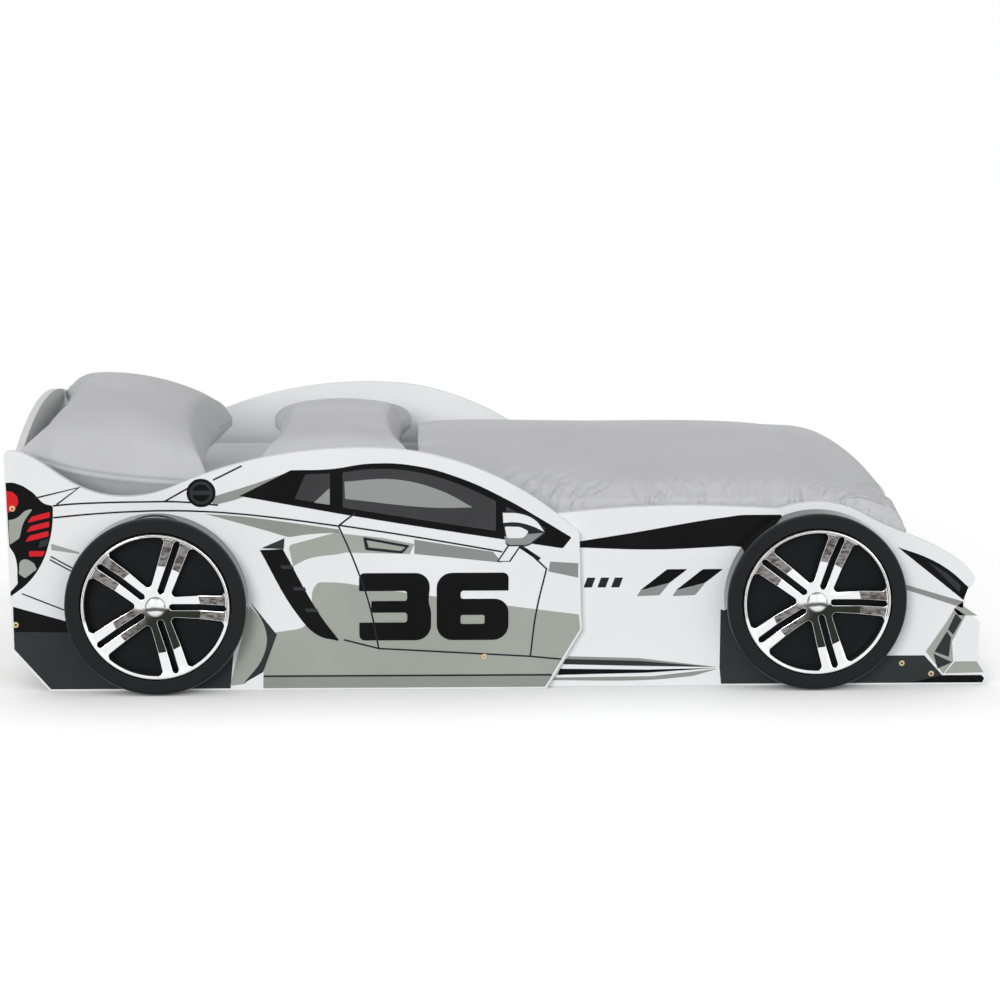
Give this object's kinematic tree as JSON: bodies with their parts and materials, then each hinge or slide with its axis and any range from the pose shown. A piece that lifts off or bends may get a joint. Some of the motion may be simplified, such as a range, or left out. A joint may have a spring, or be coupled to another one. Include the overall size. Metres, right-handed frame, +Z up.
{
  "type": "car bed for children",
  "caption": "Child's bed shaped like a low sports car: printed board sides with wheel covers, arched headboard, slatted base, mattress, pillows and duvet.",
  "frame": {"origin": "on the floor under the middle of the whole bed", "axes": "+X to the car's nose (the foot end), +Y to the car's left, +Z up"},
  "size_m": [2.137, 1.083, 0.61],
  "materials": {
    "white_board": "white laminated board with a printed film on the outer faces",
    "plain_board": "white laminated board",
    "pine": "planed pine",
    "zinc_steel": "zinc-plated sheet steel",
    "brass_plated": "brass-plated bolt",
    "black_plastic": "glossy black with a satin face",
    "dark_plastic": "matte near-black",
    "chromed_plastic": "chrome-plated plastic",
    "mattress_cloth": "smooth white cover",
    "duvet_cloth": "plain grey cotton",
    "pillow_cloth": "plain grey cotton"
  },
  "bodies": {
    "bed_frame": {"bolt_beam_left": "brass_plated", "bolt_beam_right": "brass_plated", "bolt_foot_left": "brass_plated", "bolt_foot_right": "brass_plated", "bolt_head_high_left": "brass_plated", "bolt_head_high_right": "brass_plated", "bolt_head_low_left": "brass_plated", "bolt_head_low_right": "brass_plated", "bolt_tie_left": "brass_plated", "bolt_tie_right": "brass_plated", "bracket_foot_left": "zinc_steel", "bracket_foot_right": "zinc_steel", "bracket_head_left": "zinc_steel", "bracket_head_right": "zinc_steel", "footboard": "white_board", "headboard": "white_board", "middle_beam": "plain_board", "middle_rail": "plain_board", "nose_tie": "plain_board", "rail_left": "pine", "rail_right": "pine", "side_front_left": "white_board", "side_front_right": "white_board", "side_rear_left": "white_board", "side_rear_right": "white_board", "slat_01": "pine", "slat_02": "pine", "slat_03": "pine", "slat_04": "pine", "slat_05": "pine", "slat_06": "pine", "slat_07": "pine", "slat_08": "pine", "slat_09": "pine", "slat_10": "pine", "slat_11": "pine", "slat_12": "pine", "tyre_front_left": "black_plastic", "tyre_front_right": "black_plastic", "tyre_rear_left": "black_plastic", "tyre_rear_right": "black_plastic", "wheel_cap_front_left": "chromed_plastic", "wheel_cap_front_right": "chromed_plastic", "wheel_cap_rear_left": "chromed_plastic", "wheel_cap_rear_right": "chromed_plastic", "wheel_plate_front_left": "dark_plastic", "wheel_plate_front_right": "dark_plastic", "wheel_plate_rear_left": "dark_plastic", "wheel_plate_rear_right": "dark_plastic", "wheel_trim_front_left": "chromed_plastic", "wheel_trim_front_right": "chromed_plastic", "wheel_trim_rear_left": "chromed_plastic", "wheel_trim_rear_right": "chromed_plastic"},
    "mattress": {"mattress": "mattress_cloth"},
    "duvet": {"duvet": "duvet_cloth"},
    "pillow_head": {"pillow_head": "pillow_cloth"},
    "pillow_side": {"pillow_side": "pillow_cloth"}
  },
  "joints": [
    {"name": "mattress_lift", "type": "slide", "parent": "bed_frame", "child": "mattress", "axis": [0, 0, 1], "range_m": [0, 0.35]},
    {"name": "duvet_lift", "type": "slide", "parent": "mattress", "child": "duvet", "axis": [0, 0, 1], "range_m": [0, 0.4]},
    {"name": "pillow_head_lift", "type": "slide", "parent": "mattress", "child": "pillow_head", "axis": [0, 0, 1], "range_m": [0, 0.4]},
    {"name": "pillow_side_lift", "type": "slide", "parent": "mattress", "child": "pillow_side", "axis": [0, 0, 1], "range_m": [0, 0.4]}
  ]
}
